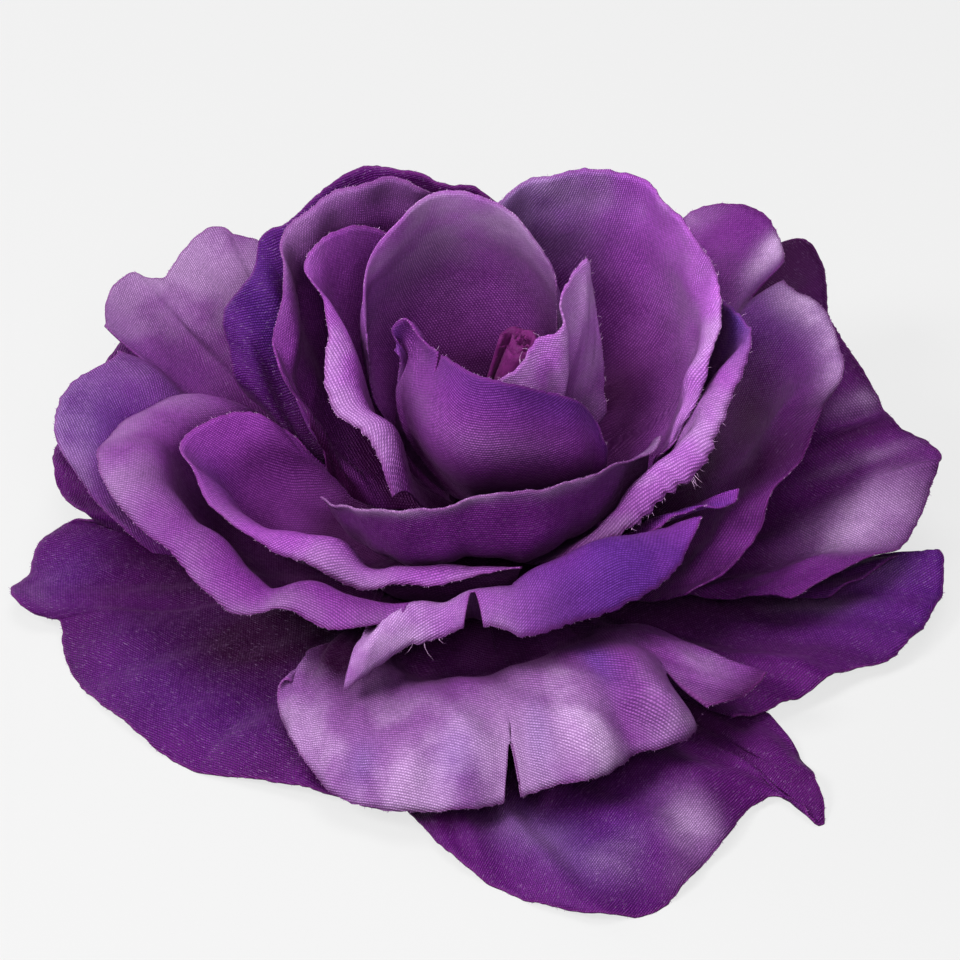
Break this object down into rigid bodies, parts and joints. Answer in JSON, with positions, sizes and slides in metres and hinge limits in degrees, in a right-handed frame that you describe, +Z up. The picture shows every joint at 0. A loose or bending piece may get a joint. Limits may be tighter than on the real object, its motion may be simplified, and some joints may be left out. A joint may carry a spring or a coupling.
{
  "type": "fabric rose head",
  "caption": "Open fabric rose head with cupped, rolled-edge cloth petals around a bud, a leafy calyx and a flat underside; rests free on a surface.",
  "frame": {"origin": "on the flower's axis, in the flat resting face under the calyx", "axes": "+Z up along the flower's axis, +X to the flower's right, -Y to its front"},
  "size_m": [0.1014, 0.1027, 0.0481],
  "materials": {
    "petal_cloth": "satin woven polyester, violet with paler lilac tips",
    "tuft_cloth": "frayed, fuzzy",
    "calyx_plastic": "moulded, semi-matt green",
    "peg_plastic": "moulded, semi-matt pale green"
  },
  "bodies": {
    "root": {"bud_tip": "petal_cloth", "bud_front": "petal_cloth", "bud_back": "petal_cloth", "inner_left": "petal_cloth", "inner_front": "petal_cloth", "inner_right_back": "petal_cloth", "inner_right": "petal_cloth", "inner_back_left": "petal_cloth", "mid_inner_left": "petal_cloth", "mid_right_tip": "petal_cloth", "mid_back_left": "petal_cloth", "mid_left": "petal_cloth", "mid_front": "petal_cloth", "mid_back_right": "petal_cloth", "outer_left": "petal_cloth", "outer_right": "petal_cloth", "outer_front": "petal_cloth", "outer_back": "petal_cloth", "base_left_back": "petal_cloth", "base_left": "petal_cloth", "base_right_back": "petal_cloth", "base_right": "petal_cloth", "base_front": "petal_cloth", "base_back": "petal_cloth", "centre_tuft": "tuft_cloth", "peg": "peg_plastic", "calyx": "calyx_plastic"}
  },
  "joints": []
}
